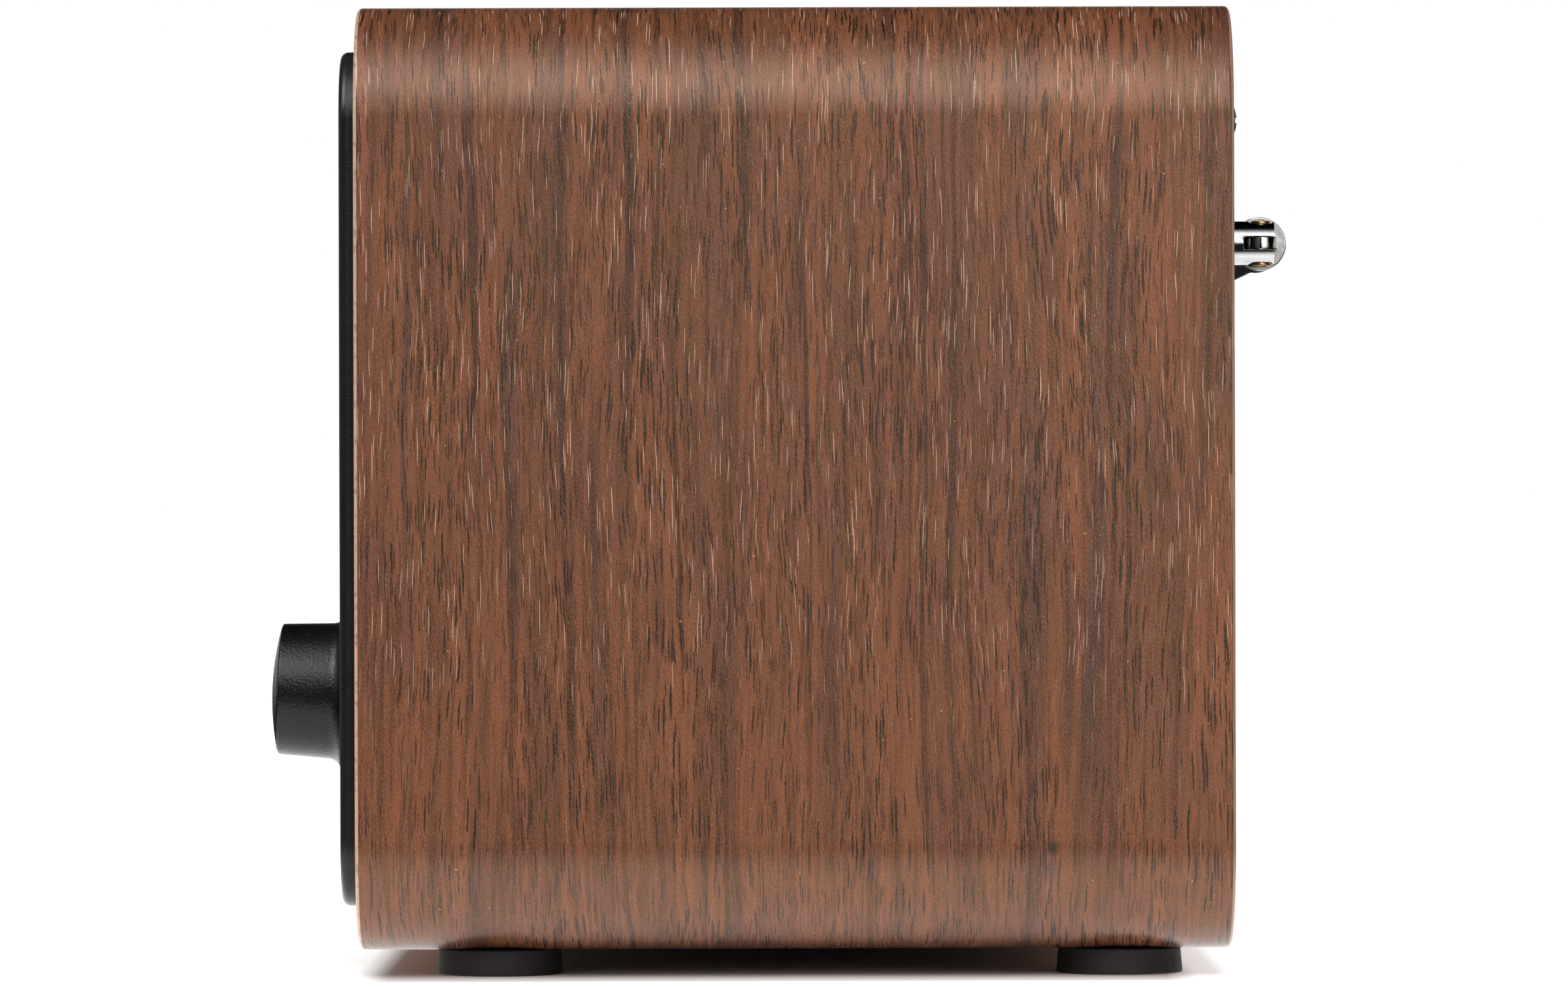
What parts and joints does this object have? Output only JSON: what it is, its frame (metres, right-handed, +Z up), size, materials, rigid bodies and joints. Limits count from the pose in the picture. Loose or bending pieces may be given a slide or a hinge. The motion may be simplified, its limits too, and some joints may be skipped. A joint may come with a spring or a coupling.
{
  "type": "tabletop radio",
  "caption": "Tabletop radio in a walnut sleeve: proud black front with grille, display, buttons and one tilted push-and-turn knob, and a swivelling telescopic antenna at the back.",
  "frame": {"origin": "on the surface the radio stands on, below the middle of its bounding box", "axes": "+X along the width, to the right as seen from the front; the front faces -Y; +Z up"},
  "size_m": [0.25, 0.1602, 0.15],
  "materials": {
    "walnut": "satin walnut foil",
    "bare_wood": "sawn",
    "black_plastic": "satin, fine texture",
    "knob_plastic": "satin",
    "button_plastic": "satin",
    "grille_metal": "satin",
    "grille_cloth": "woven",
    "basket_steel": "zinc plated",
    "gasket_rubber": "matt",
    "ferrite": "matt",
    "copper": "lacquered",
    "paper": "pressed pulp",
    "spider_cloth": "woven",
    "smoked_window": "polished",
    "lcd": "polished",
    "white_plastic": "satin",
    "circuit_board": "solder mask",
    "dark_plastic": "satin",
    "red_plastic": "satin",
    "zinc_steel": "zinc plated",
    "black_steel": "black oxide",
    "tin_plate": "bright",
    "can_sleeve": "glossy",
    "aluminium": "extruded",
    "chrome": "polished",
    "brass": "turned",
    "red_lead": "satin",
    "ribbon": "satin",
    "dark_lead": "satin",
    "foot_rubber": "matt"
  },
  "bodies": {
    "radio": {"cabinet_shell": "walnut", "front_corner_blocks": "bare_wood", "rear_corner_blocks": "bare_wood", "front_panel": "black_plastic", "front_panel_screws": "zinc_steel", "speaker_grille": "grille_metal", "grille_cloth": "grille_cloth", "speaker_basket": "basket_steel", "speaker_gasket": "gasket_rubber", "speaker_screws": "zinc_steel", "speaker_top_plate": "basket_steel", "speaker_magnet": "ferrite", "speaker_yoke": "basket_steel", "cone_surround": "gasket_rubber", "spider": "spider_cloth", "display_lens": "smoked_window", "lcd_glass": "lcd", "lcd_frame": "white_plastic", "front_board": "circuit_board", "front_board_screws": "zinc_steel", "switch_bodies": "dark_plastic", "encoder_housing": "dark_plastic", "encoder_nut": "zinc_steel", "encoder_board": "circuit_board", "main_board": "circuit_board", "board_standoffs": "white_plastic", "board_screws": "zinc_steel", "tuner_shield": "tin_plate", "capacitors": "can_sleeve", "heatsink": "aluminium", "dc_jack": "dark_plastic", "audio_jacks": "dark_plastic", "back_panel": "black_plastic", "back_panel_screws": "black_steel", "speaker_leads": "red_lead", "display_ribbon": "ribbon", "antenna_lead": "dark_lead", "feet": "foot_rubber", "foot_screws": "zinc_steel"},
    "button_1": {"button_1": "button_plastic"},
    "button_2": {"button_2": "button_plastic"},
    "button_3": {"button_3": "button_plastic"},
    "button_4": {"button_4": "button_plastic"},
    "rotor": {"encoder_rotor": "white_plastic"},
    "knob": {"encoder_shaft": "zinc_steel", "encoder_plunger": "red_plastic", "tuning_knob": "knob_plastic"},
    "cone": {"speaker_cone": "paper", "voice_coil": "copper", "dust_cap": "paper"},
    "antenna_swivel": {"antenna_stud": "chrome", "antenna_washer": "zinc_steel", "antenna_nut": "zinc_steel", "hinge_pin": "brass"},
    "antenna_base": {"antenna_root": "chrome", "mast_1": "chrome"},
    "stage_2": {"mast_2": "chrome"},
    "stage_3": {"mast_3": "chrome"},
    "stage_4": {"mast_4": "chrome"},
    "stage_5": {"mast_5": "chrome"}
  },
  "joints": [
    {"name": "button_1_press", "type": "slide", "parent": "radio", "child": "button_1", "axis": [0, 1, 0], "range_m": [0, 0.0005], "stiffness_N_per_m": 1500, "springref_m": -0.0005},
    {"name": "button_2_press", "type": "slide", "parent": "radio", "child": "button_2", "axis": [0, 1, 0], "range_m": [0, 0.0005], "stiffness_N_per_m": 1500, "springref_m": -0.0005},
    {"name": "button_3_press", "type": "slide", "parent": "radio", "child": "button_3", "axis": [0, 1, 0], "range_m": [0, 0.0005], "stiffness_N_per_m": 1500, "springref_m": -0.0005},
    {"name": "button_4_press", "type": "slide", "parent": "radio", "child": "button_4", "axis": [0, 1, 0], "range_m": [0, 0.0005], "stiffness_N_per_m": 1500, "springref_m": -0.0005},
    {"name": "knob_turn", "type": "hinge", "parent": "radio", "child": "rotor", "pos_m": [0.074, -0.06711, 0.0432], "axis": [0, -0.9991, 0.0419], "continuous": true},
    {"name": "knob_press", "type": "slide", "parent": "rotor", "child": "knob", "axis": [0, 0.9991, -0.0419], "range_m": [0, 0.0006], "stiffness_N_per_m": 3000, "springref_m": -0.0005},
    {"name": "cone_travel", "type": "slide", "parent": "radio", "child": "cone", "axis": [0, 1, 0], "range_m": [-0.0015, 0.0015], "stiffness_N_per_m": 1500, "deforming": ["cone_surround", "spider"]},
    {"name": "antenna_turn", "type": "hinge", "parent": "radio", "child": "antenna_swivel", "pos_m": [0.1, 0.07589, 0.1134], "axis": [0, 1, 0], "range_deg": [0, 180]},
    {"name": "antenna_tilt", "type": "hinge", "parent": "antenna_swivel", "child": "antenna_base", "pos_m": [0.1, 0.07589, 0.1134], "axis": [0, 0, -1], "range_deg": [0, 90]},
    {"name": "stage_2_draw", "type": "slide", "parent": "antenna_base", "child": "stage_2", "axis": [-1, 0, 0], "range_m": [0, 0.152]},
    {"name": "stage_3_draw", "type": "slide", "parent": "stage_2", "child": "stage_3", "axis": [-1, 0, 0], "range_m": [0, 0.152]},
    {"name": "stage_4_draw", "type": "slide", "parent": "stage_3", "child": "stage_4", "axis": [-1, 0, 0], "range_m": [0, 0.152]},
    {"name": "stage_5_draw", "type": "slide", "parent": "stage_4", "child": "stage_5", "axis": [-1, 0, 0], "range_m": [0, 0.152]}
  ]
}
